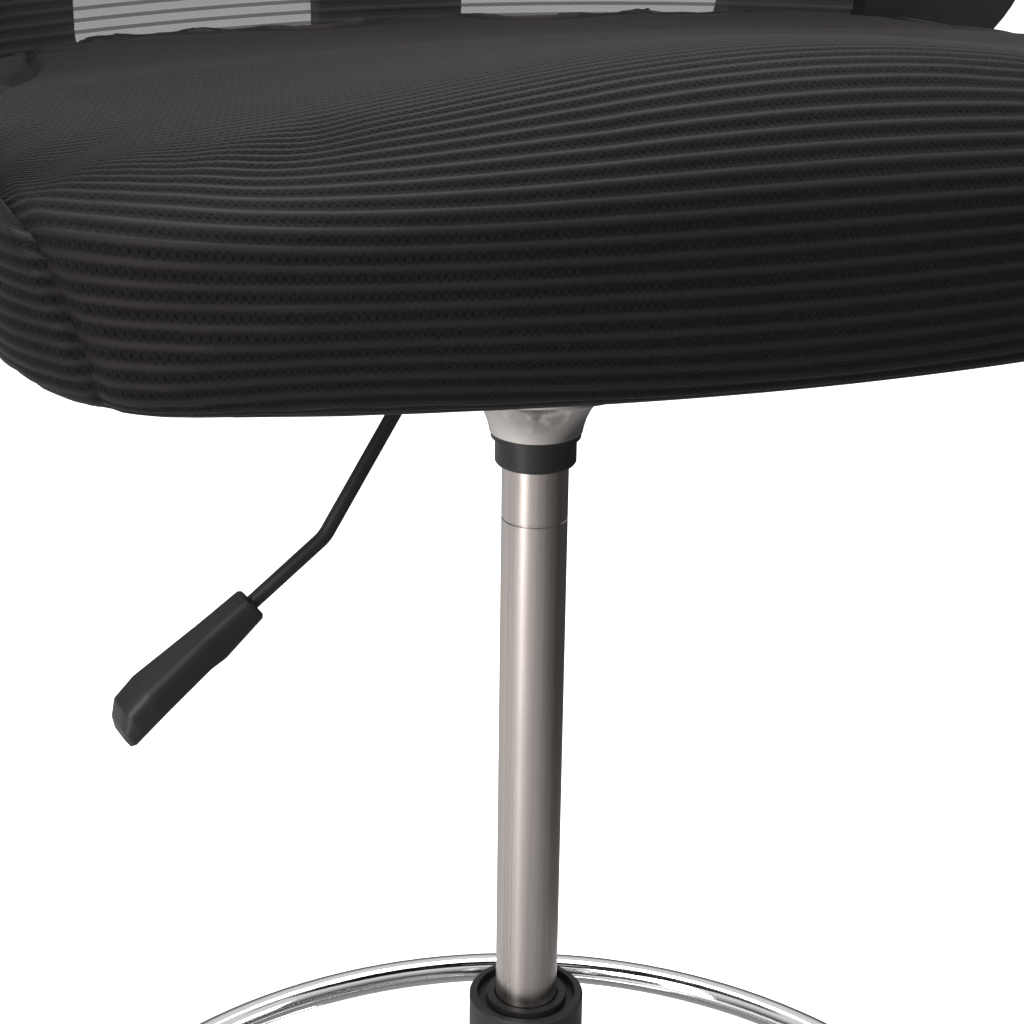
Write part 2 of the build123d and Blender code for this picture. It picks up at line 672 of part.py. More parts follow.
def seat_plan(inset):
    """The seat's outline from above, drawn in by the inset, with a bowed front edge."""
    front_x, front_y = FRONT_CORNER.X - inset, FRONT_CORNER.Y + inset
    rear_x, rear_y = REAR_CORNER.X - inset, REAR_CORNER.Y - inset
    widest = SEAT_HALF_WIDTH - inset
    with BuildSketch(Plane.XY) as plan:
        with BuildLine():
            ThreePointArc((-front_x, front_y), (0, SEAT_FRONT + inset), (front_x, front_y))
            ThreePointArc((front_x, front_y), (widest, WIDEST_Y), (rear_x, rear_y))
            ThreePointArc((rear_x, rear_y), (0, SEAT_REAR - inset), (-rear_x, rear_y))
            ThreePointArc((-rear_x, rear_y), (-widest, WIDEST_Y), (-front_x, front_y))
        make_face()
        fillet(plan.vertices(), radius=CORNER_ROUNDING - inset / 2)
    return plan.sketch


BOARD_INSET = 20
COVER_INSET = 12
seat_outline = seat_plan(0)
board_outline = seat_plan(BOARD_INSET)
cover_outline = seat_plan(COVER_INSET)

with BuildPart() as seat_board:
    with BuildSketch(Plane.XY.offset(SEAT_UNDERSIDE)):
        add(board_outline)
        with Locations(*BOLT_PLACES):
            Circle(NUT_RADIUS, mode=Mode.SUBTRACT)
    extrude(amount=BOARD_THICKNESS)
    with BuildSketch(Plane.XY.offset(BOARD_TOP - NUT_FLANGE)):
        with Locations(*BOLT_PLACES):
            Circle(NUT_FLANGE_RADIUS)
    extrude(amount=NUT_FLANGE, mode=Mode.SUBTRACT)
save(seat_board, "seat_board")

with BuildPart() as dust_cover:
    with BuildSketch(Plane.XY.offset(PLATE_TOP)):
        add(cover_outline)
        with Locations(*BOLT_PLACES):
            Circle(NUT_RADIUS, mode=Mode.SUBTRACT)
    extrude(amount=SEAT_UNDERSIDE - PLATE_TOP)
save(dust_cover, "dust_cover")

CUSHION_EDGE = 28
CUSHION_HEM = 12
CUSHION_REAR_TOP = 818
with BuildPart() as seat_cushion:
    with BuildSketch(Plane.XY.offset(SEAT_UNDERSIDE)):
        add(seat_outline)
    extrude(amount=CUSHION_TOP - SEAT_UNDERSIDE)
    with BuildSketch(Plane.YZ):
        with BuildLine():
            Polyline(
                (SEAT_FRONT, SEAT_UNDERSIDE),
                (SEAT_REAR, SEAT_UNDERSIDE),
                (SEAT_REAR, CUSHION_REAR_TOP),
                (SEAT_FRONT, CUSHION_TOP),
                close=True,
            )
        make_face()
    extrude(amount=SEAT_HALF_WIDTH, both=True, mode=Mode.INTERSECT)
    crown = faces().sort_by(Axis.Z)[-1]
    fillet(crown.edges(), radius=CUSHION_EDGE)
    fillet(edges().group_by(Axis.Z)[0], radius=CUSHION_HEM)
    with BuildSketch(Plane.XY.offset(SEAT_UNDERSIDE)):
        add(board_outline)
    extrude(amount=BOARD_THICKNESS, mode=Mode.SUBTRACT)
save(seat_cushion, "seat_cushion")

# ---------------------------------------------------------------- back
LAND_FRONT = 4
LAND_REAR = 18
RIM_FRONT = -7
RIM_SILL = 10
RIM_HEAD = 36
RIM_CORNER = 42
MESH_SILL = 22
MESH_HEAD = 56
MESH_CORNER = 24
THROUGH = 500
SPINE_FRONT = LAND_REAR
SPINE_REAR = 30
BAR_FRONT_Y = 240
BAR_END_HEIGHT = 965
LUMBAR = (BACK_SPINE_Y - 8, 930)
RAKE_TOP_Y = BACK_SPINE_Y + 40


def back_layer(near, far):
    """The curved layer of the back between two distances behind its front surface."""
    low, middle, high = (BACK_SPINE_Y, BACK_BOTTOM - 20), LUMBAR, (RAKE_TOP_Y, BACK_TOP + 20)
    with BuildPart() as layer:
        with BuildSketch(Plane.YZ):
            with BuildLine():
                front = ThreePointArc(*[(y + near, z) for y, z in (low, middle, high)])
                rear = ThreePointArc(*[(y + far, z) for y, z in (low, middle, high)])
                Line(front @ 0, rear @ 0)
                Line(front @ 1, rear @ 1)
            make_face()
        revolve(axis=Axis((0, BACK_SPINE_Y - BACK_RADIUS, 0), (0, 0, 1)), revolution_arc=360)
    return layer.part


def back_window(half_width, bottom, top, corner):
    """Sketches a round-cornered window of the back, seen from the front."""
    with Locations((0, (bottom + top) / 2)):
        RectangleRounded(2 * half_width, top - bottom, corner)


with BuildPart() as frame_land:
    with BuildSketch(Plane.XZ):
        back_window(BACK_HALF_WIDTH, BACK_BOTTOM, BACK_TOP, BACK_CORNER)
    extrude(amount=-THROUGH)
    with BuildSketch(Plane.XZ):
        back_window(MESH_HALF_OPENING, BACK_BOTTOM + MESH_SILL, BACK_TOP - MESH_HEAD, MESH_CORNER)
    extrude(amount=-THROUGH, mode=Mode.SUBTRACT)
    add(back_layer(LAND_FRONT, LAND_REAR), mode=Mode.INTERSECT)

with BuildPart() as back_frame:
    with BuildSketch(Plane.XZ):
        back_window(BACK_HALF_WIDTH, BACK_BOTTOM, BACK_TOP, BACK_CORNER)
    extrude(amount=-THROUGH)
    with BuildSketch(Plane.XZ):
        back_window(RIM_HALF_OPENING, BACK_BOTTOM + RIM_SILL, BACK_TOP - RIM_HEAD, RIM_CORNER)
    extrude(amount=-THROUGH, mode=Mode.SUBTRACT)
    add(back_layer(RIM_FRONT, LAND_FRONT), mode=Mode.INTERSECT)
    add(frame_land.part)
save(back_frame, "back_frame")

with BuildPart() as back_mesh:
    with BuildSketch(Plane.XZ):
        back_window(RIM_HALF_OPENING, BACK_BOTTOM + RIM_SILL, BACK_TOP - RIM_HEAD, RIM_CORNER)
    extrude(amount=-THROUGH)
    add(back_layer(LAND_FRONT - MESH_THICKNESS, LAND_FRONT), mode=Mode.INTERSECT)
save(back_mesh, "back_mesh")

SPINE_BOTTOM = BACK_BOTTOM + 3
SPINE_TOP = BACK_TOP - 24
SPINE_CORNER = 10
with BuildPart() as back_spine:
    with BuildSketch(Plane.XZ):
        back_window(SPINE_WIDTH / 2, SPINE_BOTTOM, SPINE_TOP, SPINE_CORNER)
    extrude(amount=-THROUGH)
    add(back_layer(SPINE_FRONT, SPINE_REAR), mode=Mode.INTERSECT)
save(back_spine, "back_spine")

BRACKET_BOTTOM = 800
BRACKET_TOP = 945
BRACKET_HALF_WIDTH = 26
BRACKET_CORNER = 6
with BuildPart() as back_bracket:
    with BuildSketch(Plane.XZ):
        back_window(BRACKET_HALF_WIDTH, BRACKET_BOTTOM, BRACKET_TOP, BRACKET_CORNER)
    extrude(amount=-BAR_FRONT_Y)
    add(back_layer(SPINE_REAR, SPINE_REAR + 40), mode=Mode.INTERSECT)
save(back_bracket, "back_bracket")

BAR_START_Y = 42
with BuildPart() as back_bar:
    with BuildSketch(Plane.YZ.offset(-BAR_WIDTH / 2)):
        with BuildLine():
            upper = FilletPolyline(
                (BAR_START_Y, BAR_TOP), (BAR_FRONT_Y, BAR_TOP), (BAR_FRONT_Y, BAR_END_HEIGHT), radius=[22]
            )
            lower = FilletPolyline(
                (BAR_START_Y, BAR_BOTTOM),
                (BAR_FRONT_Y + BAR_THICKNESS, BAR_BOTTOM),
                (BAR_FRONT_Y + BAR_THICKNESS, BAR_END_HEIGHT),
                radius=[30],
            )
            Line(upper @ 0, lower @ 0)
            Line(upper @ 1, lower @ 1)
        make_face()
    extrude(amount=BAR_WIDTH)
    with BuildSketch(Plane.XY.offset(BAR_BOTTOM)):
        with Locations(*BAR_BOLT_PLACES):
            Circle(BOLT_RADIUS)
    extrude(amount=BAR_THICKNESS, mode=Mode.SUBTRACT)
save(back_bar, "back_bar")

with BuildPart() as bar_bolts:
    for x, y in BAR_BOLT_PLACES:
        with BuildSketch(Plane.XY.offset(BAR_BOTTOM - BOLT_HEAD)):
            with Locations((x, y)):
                RegularPolygon(BOLT_HEAD_RADIUS, 6)
        extrude(amount=BOLT_HEAD)
        with BuildSketch(Plane.XY.offset(BAR_BOTTOM)):
            with Locations((x, y)):
                Circle(BOLT_RADIUS)
        extrude(amount=PLATE_TOP - BAR_BOTTOM)
save(bar_bolts, "bar_bolts")

BACK_SCREW_HEIGHTS = (825, 872, 919)
SCREW_HEAD_RADIUS = 7
SCREW_HEAD = 3.5
with BuildPart() as back_screws:
    for height in BACK_SCREW_HEIGHTS:
        with BuildSketch(Plane.XZ.offset(-BAR_FRONT_Y - BAR_THICKNESS)):
            with Locations((0, height)):
                Circle(SCREW_HEAD_RADIUS)
        extrude(amount=-SCREW_HEAD)
    fillet(edges().group_by(Axis.Y)[-1], radius=1.5)
save(back_screws, "back_screws")
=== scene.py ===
import json
import math

import bmesh
import bpy
from mathutils import Matrix, Vector
from mathutils.bvhtree import BVHTree


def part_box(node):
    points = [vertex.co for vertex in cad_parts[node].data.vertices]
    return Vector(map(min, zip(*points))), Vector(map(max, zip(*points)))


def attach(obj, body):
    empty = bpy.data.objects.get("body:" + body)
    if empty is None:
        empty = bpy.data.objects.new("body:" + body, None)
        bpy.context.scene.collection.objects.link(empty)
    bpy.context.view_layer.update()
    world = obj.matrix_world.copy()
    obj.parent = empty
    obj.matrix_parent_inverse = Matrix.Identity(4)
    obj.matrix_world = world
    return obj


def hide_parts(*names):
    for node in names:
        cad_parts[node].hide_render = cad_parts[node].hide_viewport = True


# A mesh drafting chair. Metres, +Z up, the sitter faces -Y and the lever is at -X.

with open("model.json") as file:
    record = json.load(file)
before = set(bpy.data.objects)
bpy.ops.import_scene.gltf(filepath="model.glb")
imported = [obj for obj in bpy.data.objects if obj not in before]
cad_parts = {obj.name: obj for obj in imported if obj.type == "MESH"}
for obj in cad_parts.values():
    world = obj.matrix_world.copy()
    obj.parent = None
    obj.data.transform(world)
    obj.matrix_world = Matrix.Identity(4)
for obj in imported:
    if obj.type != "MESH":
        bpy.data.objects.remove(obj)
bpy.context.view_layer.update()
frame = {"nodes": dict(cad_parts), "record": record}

MM = 0.001
RIB_PITCH = 5.6 * MM
SIDE_PITCH = 4.6 * MM
RIB_HEIGHT = 0.75 * MM
HOLE_CELL = 2.3 * MM
BACK_RIB_PITCH = 5.0 * MM


# ------------------------------------------------------------------ shader helpers
class Shader:
    """One node material, built up from short calls."""

    def __init__(self, name):
        self.material = bpy.data.materials.new(name)
        self.material.use_nodes = True
        self.tree = self.material.node_tree
        self.surface = self.tree.nodes["Principled BSDF"]

    def node(self, kind, **settings):
        made = self.tree.nodes.new("ShaderNode" + kind)
        for key, value in settings.items():
            setattr(made, key, value)
        return made

    def feed(self, socket, value):
        if isinstance(value, bpy.types.NodeSocket):
            self.tree.links.new(value, socket)
        else:
            socket.default_value = value

    def math(self, operation, *values, clamp=False):
        made = self.node("Math", operation=operation, use_clamp=clamp)
        for socket, value in zip(made.inputs, values):
            self.feed(socket, value)
        return made.outputs[0]

    def mix(self, share, first, second):
        made = self.node("Mix", data_type="RGBA")
        self.feed(made.inputs[0], share)
        self.feed(made.inputs[6], first)
        self.feed(made.inputs[7], second)
        return made.outputs[2]

    def spread(self, value, low, high, to_low, to_high):
        made = self.node("MapRange")
        for socket, number in zip(made.inputs, (value, low, high, to_low, to_high)):
            self.feed(socket, number)
        return made.outputs[0]

    def place(self, scale=(1, 1, 1)):
        coordinates = self.node("TexCoord").outputs["Object"]
        mapping = self.node("Mapping")
        mapping.inputs["Scale"].default_value = scale
        self.feed(mapping.inputs["Vector"], coordinates)
        return mapping.outputs[0]

    def noise(self, vector, scale, detail=4.0, roughness=0.55):
        made = self.node("TexNoise")
        self.feed(made.inputs["Vector"], vector)
        made.inputs["Scale"].default_value = scale
        made.inputs["Detail"].default_value = detail
        made.inputs["Roughness"].default_value = roughness
        return made.outputs[0]

    def flat_uv(self):
        """The piece's own cloth coordinates, in metres along and across the weave."""
        made = self.node("UVMap", uv_map="cloth")
        split = self.node("SeparateXYZ")
        self.feed(split.inputs[0], made.outputs[0])
        return split.outputs[0], split.outputs[1]

    def bump(self, height, distance, strength=1.0):
        made = self.node("Bump")
        made.inputs["Strength"].default_value = strength
        made.inputs["Distance"].default_value = distance
        self.feed(made.inputs["Height"], height)
        self.feed(self.surface.inputs["Normal"], made.outputs[0])

    def set(self, **values):
        for name, value in values.items():
            self.feed(self.surface.inputs[name.replace("_", " ").title().replace("Ior", "IOR")], value)
        return self


def colour(r, g, b):
    return (r, g, b, 1.0)


# ------------------------------------------------------------------ materials
def ribbed_fabric(name, pitch, dark, light):
    """Spacer mesh: smooth raised ribs with rows of tiny holes between them, with a painted highlight on
    the rib crests and painted shade in the valleys and the holes.
    """
    s = Shader(name)
    along, across = s.flat_uv()
    phase = s.math("MULTIPLY", across, 2 * math.pi / pitch)
    rib = s.math("MULTIPLY_ADD", s.math("COSINE", phase), 0.5, 0.5)
    row = s.math("FLOOR", s.math("DIVIDE", across, pitch / 3))
    shift = s.math("MULTIPLY", row, math.pi)
    cells = s.math("SINE", s.math("MULTIPLY_ADD", along, 2 * math.pi / HOLE_CELL, shift))
    rows = s.math("ABSOLUTE", s.math("SINE", s.math("MULTIPLY", across, 3 * math.pi / pitch)))
    hole = s.spread(s.math("MULTIPLY", cells, rows), 0.25, 0.6, 0.0, 1.0)
    valley = s.spread(rib, 0.30, 0.72, 1.0, 0.0)
    hole = s.math("MULTIPLY", hole, valley)
    wear = s.noise(s.place(), 9.0)
    thread = s.noise(s.place(), 900.0, 2.0)
    # painted highlight and shade: the colour runs from the dark valley tone to the light crest tone with
    # the rib's height
    base = s.mix(s.spread(rib, 0.35, 1.0, 0.0, 1.0), dark, light)
    worn = s.mix(0.5, base, colour(0.022, 0.019, 0.018))
    base = s.mix(s.spread(wear, 0.35, 0.7, 0.0, 0.35), base, worn)
    # painted shade in the holes: their colour is drawn almost black
    base = s.mix(s.math("MULTIPLY", hole, 0.85), base, colour(0.0010, 0.0010, 0.0011))
    base = s.mix(s.spread(thread, 0.3, 0.7, 0.0, 0.25), base, colour(0.020, 0.018, 0.018))
    s.set(base_color=base, roughness=s.spread(rib, 0.2, 1.0, 0.88, 0.56))
    s.set(sheen_weight=0.10, sheen_roughness=0.30, sheen_tint=colour(0.50, 0.45, 0.43))
    s.set(specular_ior_level=0.14)
    height = s.math("MULTIPLY_ADD", thread, 0.18, s.math("MULTIPLY", hole, -1.0))
    s.bump(height, 0.5 * MM, 0.8)
    return s.material


def see_through_mesh(name):
    """Thin knitted mesh: dense horizontal ribs with open knit between them."""
    s = Shader(name)
    along, across = s.flat_uv()
    rib = s.math("COSINE", s.math("MULTIPLY", across, 2 * math.pi / BACK_RIB_PITCH))
    solid_rib = s.spread(rib, 0.15, 0.55, 0.0, 1.0)
    knit_along = s.math("SINE", s.math("MULTIPLY", along, 2 * math.pi / (1.3 * MM)))
    knit_across = s.math("SINE", s.math("MULTIPLY", across, 8 * math.pi / BACK_RIB_PITCH))
    knit = s.spread(s.math("MULTIPLY", knit_along, knit_across), -0.25, 0.25, 0.0, 1.0)
    rib_cover = s.math("MULTIPLY", solid_rib, 0.93)
    knit_cover = s.math("MULTIPLY_ADD", knit, 0.16, 0.70)
    cover = s.math("MAXIMUM", rib_cover, knit_cover, clamp=True)
    tone = s.noise(s.place(), 40.0)
    base = s.mix(tone, colour(0.020, 0.021, 0.023), colour(0.050, 0.052, 0.055))
    s.set(base_color=base, roughness=0.62, alpha=cover)
    s.set(sheen_weight=0.1, specular_ior_level=0.35)
    s.bump(s.math("ADD", solid_rib, s.math("MULTIPLY", knit, 0.3)), 0.3 * MM, 0.7)
    return s.material


def plated(name, tint, low, high, along=(1, 1, 1), wear=0.15):
    """Plated metal whose roughness and colour wander along its grain."""
    s = Shader(name)
    grain = s.noise(s.place(along), 60.0, 6.0, 0.65)
    cloud = s.noise(s.place(), 7.0)
    darker = colour(tint[0] * 0.72, tint[1] * 0.72, tint[2] * 0.74)
    share = s.math("MULTIPLY", s.spread(cloud, 0.3, 0.7, 0.0, 1.0), wear)
    s.set(base_color=s.mix(share, colour(*tint), darker), metallic=1.0)
    s.set(roughness=s.spread(grain, 0.25, 0.75, low, high))
    s.bump(grain, 0.04 * MM, 0.35)
    return s.material


def drawn_tube(name):
    """Satin plated tube with fine streaks down its length and a faint warm cast."""
    s = Shader(name)
    streak = s.noise(s.place((260, 260, 1.2)), 1.0, 5.0, 0.6)
    cloud = s.noise(s.place((1, 1, 0.5)), 30.0)
    share = s.spread(streak, 0.3, 0.7, 0.0, 1.0)
    tone = s.mix(share, colour(0.42, 0.375, 0.355), colour(0.62, 0.575, 0.55))
    tone = s.mix(s.spread(cloud, 0.35, 0.75, 0.0, 0.35), tone, colour(0.40, 0.39, 0.37))
    s.set(base_color=tone, metallic=1.0, roughness=s.spread(streak, 0.25, 0.75, 0.24, 0.38))
    s.bump(streak, 0.03 * MM, 0.5)
    return s.material


def moulded(name, dark, light, low, high, grain=900.0, depth=0.06 * MM):
    """Moulded or coated surface with a fine grain and faint handling marks."""
    s = Shader(name)
    texture = s.noise(s.place(), grain, 3.0)
    smudge = s.noise(s.place(), 14.0, 5.0)
    s.set(base_color=s.mix(s.spread(smudge, 0.35, 0.7, 0.0, 1.0), colour(*dark), colour(*light)))
    s.set(roughness=s.spread(smudge, 0.3, 0.7, low, high), specular_ior_level=0.5)
    s.bump(texture, depth, 0.6)
    return s.material


def plywood(name):
    """Raw plywood with veneer layers at its edges."""
    s = Shader(name)
    grain = s.noise(s.place((3, 60, 3)), 6.0, 8.0, 0.6)
    split = s.node("SeparateXYZ")
    s.feed(split.inputs[0], s.place())
    layer = s.math("SINE", s.math("MULTIPLY", split.outputs[2], 2 * math.pi / (3 * MM)))
    base = s.mix(grain, colour(0.46, 0.30, 0.15), colour(0.66, 0.48, 0.28))
    base = s.mix(s.spread(layer, -1.0, 1.0, 0.0, 0.25), base, colour(0.30, 0.18, 0.09))
    s.set(base_color=base, roughness=0.68)
    s.bump(grain, 0.2 * MM, 0.4)
    return s.material


def woven_lining(name):
    """Thin black non-woven lining."""
    s = Shader(name)
    fibre = s.noise(s.place(), 500.0, 4.0)
    s.set(base_color=s.mix(fibre, colour(0.008, 0.008, 0.009), colour(0.028, 0.028, 0.030)))
    s.set(roughness=0.9, specular_ior_level=0.2)
    s.bump(fibre, 0.2 * MM, 0.6)
    return s.material


# for both fabrics, dark is the painted shade of the rib valleys and light the painted highlight of the rib
# crests
seat_fabric = ribbed_fabric(
    "seat_ribs", RIB_PITCH, dark=colour(0.0032, 0.0028, 0.0030), light=colour(0.0130, 0.0115, 0.0115)
)
side_fabric = ribbed_fabric(
    "side_ribs", SIDE_PITCH, dark=colour(0.0032, 0.0030, 0.0032), light=colour(0.0110, 0.0105, 0.0110)
)
lining_cloth = woven_lining("lining")
back_fabric = see_through_mesh("back_knit")
black_plastic = moulded("black_nylon", (0.0095, 0.0098, 0.0105), (0.019, 0.0195, 0.021), 0.40, 0.56)
materials = {
    "chrome": plated("chrome_plate", (0.80, 0.80, 0.81), 0.045, 0.11),
    "satin_column": drawn_tube("satin_tube"),
    "satin_nickel": plated("nickel_plate", (0.60, 0.57, 0.55), 0.16, 0.28, (1, 1, 8)),
    "bearing_steel": plated("zinc_steel", (0.55, 0.56, 0.57), 0.22, 0.40),
    "black_paint": moulded("powder_coat", (0.010, 0.010, 0.011), (0.018, 0.018, 0.020), 0.34, 0.50, 450.0),
    "black_plastic": black_plastic,
    "bush_plastic": moulded("acetal", (0.62, 0.60, 0.54), (0.72, 0.70, 0.64), 0.35, 0.5),
    "caster_tread": moulded("nylon_wheel", (0.010, 0.010, 0.011), (0.022, 0.022, 0.023), 0.42, 0.62),
    "seat_mesh_fabric": seat_fabric,
    "back_mesh_fabric": back_fabric,
    "lining_cloth": lining_cloth,
    "plywood": plywood("birch_ply"),
}


def paint(obj, material, smooth_angle=None):
    obj.data.materials.clear()
    obj.data.materials.append(material)
    if smooth_angle is not None:
        smooth(obj, smooth_angle)


def smooth(obj, degrees):
    obj.data.shade_smooth()
    obj.data.set_sharp_from_angle(angle=math.radians(degrees))


SHARP_DEGREES = 32
slots = {entry["node"]: entry["material_slot"] for entry in frame["record"]["subparts"]}
for node_name, node_object in frame["nodes"].items():
    paint(node_object, materials[slots[node_name]], SHARP_DEGREES)


# ------------------------------------------------------------------ mesh helpers
def new_piece(name, vertices, faces, uvs=None):
    """A mesh object; uvs are one (u, v) per vertex, in metres of cloth."""
    mesh = bpy.data.meshes.new(name)
    mesh.from_pydata([tuple(v) for v in vertices], [], faces)
    if uvs is not None:
        layer = mesh.uv_layers.new(name="cloth")
        for loop in mesh.loops:
            layer.data[loop.index].uv = uvs[loop.vertex_index]
    mesh.validate()
    mesh.update()
    obj = bpy.data.objects.new(name, mesh)
    bpy.context.scene.collection.objects.link(obj)
    obj.data.shade_smooth()
    return obj


def grid_faces(rows, columns, start=0, flip=False):
    """Quads of a rows by columns grid of vertices."""
    faces = []
    for r in range(rows - 1):
        for c in range(columns - 1):
            a = start + r * columns + c
            quad = (a, a + 1, a + columns + 1, a + columns)
            faces.append(quad[::-1] if flip else quad)
    return faces


def apply_modifiers(obj):
    """Bakes the modifiers into the object's mesh."""
    graph = bpy.context.evaluated_depsgraph_get()
    graph.update()
    made = bpy.data.meshes.new_from_object(obj.evaluated_get(graph))
    old = obj.data
    obj.modifiers.clear()
    obj.data = made
    bpy.data.meshes.remove(old)


# ------------------------------------------------------------------ seat cushion
seat_low, seat_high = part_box("seat_cushion")
# the cover stands a little outside the CAD cushion at the front and the sides
FRONT_PUFF = 4 * MM
SIDE_PUFF = 3 * MM
SEAT_BOTTOM = seat_low[2]
SEAT_FRONT = seat_low[1] - FRONT_PUFF
SEAT_REAR = seat_high[1]
SEAT_HALF = seat_high[0] + SIDE_PUFF
SEAT_MIDDLE_Y = (SEAT_FRONT + SEAT_REAR) / 2
WIDEST_Y = -0.06
FRONT_CORNER = (0.225, -0.228)
REAR_CORNER = (0.185, 0.130)
CORNER_ROUND = 38 * MM
BELT_HEIGHT = 0.824
PAN_HEIGHT = 0.836
PAN_START_Y = -0.05
PAN_SLOPE = 0.115
NOSE_Y = -0.222
NOSE_HEIGHT = 27 * MM
NOSE_DEPTH = 0.12
NOSE_SPREAD = 0.17
SIDE_FALL = 10 * MM
SIDE_FALL_END_Y = 0.10
TOP_ROLL = 30 * MM
NOSE_ROLL = 50 * MM
NOSE_ROLL_START_Y = -0.12
NOSE_ROLL_REACH = 0.10
UNDER_ROLL = 9 * MM
HEM_INSET = 24 * MM
HEM_SLOPE = 0.40
HEM_GAP = 0.5 * MM
FORM_GRID = 75
FORM_VOXEL = 6 * MM
SWELL_CAP = 3 * MM
STAPLE_TOP = 14 * MM
CORE_INSET = 3.2 * MM


def half_width_at(y):
    """Half the seat's width at this depth, before its corners are rounded."""
    corner = REAR_CORNER if y > WIDEST_Y else FRONT_CORNER
    share = (y - WIDEST_Y) / (corner[1] - WIDEST_Y)
    return SEAT_HALF - (SEAT_HALF - corner[0]) * share**2


def edge_distance(x, y):
    """How far a point is inside the seat's outline, roughly, with round corners."""
    front = SEAT_FRONT + (FRONT_CORNER[1] - SEAT_FRONT) * (x / FRONT_CORNER[0]) ** 2
    rear = SEAT_REAR - (SEAT_REAR - REAR_CORNER[1]) * (x / REAR_CORNER[0]) ** 2
    side = half_width_at(y) - abs(x)
    depth = min(y - front, rear - y)
    if side < CORNER_ROUND and depth < CORNER_ROUND:
        return CORNER_ROUND - math.hypot(CORNER_ROUND - side, CORNER_ROUND - depth)
    return min(side, depth)


def outline_reach(angle):
    """Distance from the seat's middle to its outline along a direction."""
    near, far = 0.05, 0.40
    for _ in range(28):
        reach = (near + far) / 2
        if edge_distance(reach * math.cos(angle), SEAT_MIDDLE_Y + reach * math.sin(angle)) > 0:
            near = reach
        else:
            far = reach
    return near


def outline_point(dx, dy):
    """A point of the unit disc, moved to the same share of the way to the seat's outline."""
    reach = outline_reach(math.atan2(dy, dx)) if dx or dy else 0.0
    return reach * dx, SEAT_MIDDLE_Y + reach * dy


def pan(x, y):
    """Height of the padded top: a raised nose in front of a shallow pan that falls to the rear."""
    ahead = math.exp(-((y - NOSE_Y) / NOSE_DEPTH) ** 2)
    nose = NOSE_HEIGHT * ahead * math.exp(-((x / NOSE_SPREAD) ** 2))
    fall = min(1.0, max(0.0, (SIDE_FALL_END_Y - y) / SIDE_FALL_END_Y))
    sides = SIDE_FALL * (x / SEAT_HALF) ** 2 * fall
    return PAN_HEIGHT + nose - sides - PAN_SLOPE * max(0.0, y - PAN_START_Y)


def roll(inside, radius, depth):
    """How far an elliptical edge lies from the full height, at a distance inside the outline."""
    if inside >= radius:
        return 0.0
    return depth * (1 - math.sqrt(max(0.0, 1 - ((radius - inside) / radius) ** 2)))


def form_mesh():
    """The closed blank that the cloth pass swells: two skins joined at the seat's widest line."""
    columns = rows = FORM_GRID
    top, bottom = [], []
    for r in range(rows):
        v = -1 + 2 * r / (rows - 1)
        for c in range(columns):
            u = -1 + 2 * c / (columns - 1)
            # the square grid is drawn onto a disc, and then crowded towards its rim
            dx = u * math.sqrt(1 - v * v / 2)
            dy = v * math.sqrt(1 - u * u / 2)
            length = min(1.0, math.hypot(dx, dy))
            crowd = math.sin(length * math.pi / 2) / length if length > 1e-9 else 1.0
            x, y = outline_point(dx * crowd, dy * crowd)
            inside = max(0.0, edge_distance(x, y))
            front = min(1.0, max(0.0, (NOSE_ROLL_START_Y - y) / NOSE_ROLL_REACH))
            top_roll = TOP_ROLL + (NOSE_ROLL - TOP_ROLL) * front
            height = pan(x, y)
            top.append((x, y, height - roll(inside, top_roll, height - BELT_HEIGHT)))
            bevel = HEM_SLOPE * max(0.0, HEM_INSET - inside)
            depth = BELT_HEIGHT - SEAT_BOTTOM - HEM_SLOPE * HEM_INSET - HEM_GAP
            belly = roll(inside, UNDER_ROLL, depth)
            bottom.append((x, y, SEAT_BOTTOM + bevel + belly))
    faces = grid_faces(rows, columns) + grid_faces(rows, columns, len(top), True)
    obj = new_piece("seat_blank", top + bottom, faces)
    bm = bmesh.new()
    bm.from_mesh(obj.data)
    bmesh.ops.bridge_loops(bm, edges=[e for e in bm.edges if e.is_boundary])
    bmesh.ops.recalc_face_normals(bm, faces=bm.faces)
    bm.to_mesh(obj.data)
    bm.free()
    return obj


def swollen(blank):
    """The blank after a pressurised cloth pass, held along its stapled lower edge."""
    remesh = blank.modifiers.new("remesh", "REMESH")
    remesh.mode = "VOXEL"
    remesh.voxel_size = FORM_VOXEL
    apply_modifiers(blank)
    rest = [v.co.copy() for v in blank.data.vertices]
    staples = blank.vertex_groups.new(name="staples")
    for vertex in blank.data.vertices:
        height = vertex.co.z - SEAT_BOTTOM
        staples.add([vertex.index], min(1.0, max(0.0, 2 - height / STAPLE_TOP)), "REPLACE")
    cloth = blank.modifiers.new("cloth", "CLOTH")
    cloth.settings.use_pressure = True
    cloth.settings.uniform_pressure_force = 4.0
    cloth.settings.tension_stiffness = 25
    cloth.settings.compression_stiffness = 25
    cloth.settings.bending_stiffness = 3
    cloth.settings.effector_weights.gravity = 0
    cloth.settings.vertex_group_mass = "staples"
    for number in range(1, 21):
        bpy.context.scene.frame_set(number)
    apply_modifiers(blank)
    bpy.context.scene.frame_set(1)
    for vertex, start in zip(blank.data.vertices, rest):
        move = vertex.co - start
        if move.length > SWELL_CAP:
            vertex.co = start + move.normalized() * SWELL_CAP
    relax = blank.modifiers.new("relax", "SMOOTH")
    relax.factor = 0.5
    relax.iterations = 6
    relax.vertex_group = "staples"
    relax.invert_vertex_group = True
    apply_modifiers(blank)
    return blank


def surface_of(obj):
    return BVHTree.FromObject(obj, bpy.context.evaluated_depsgraph_get())


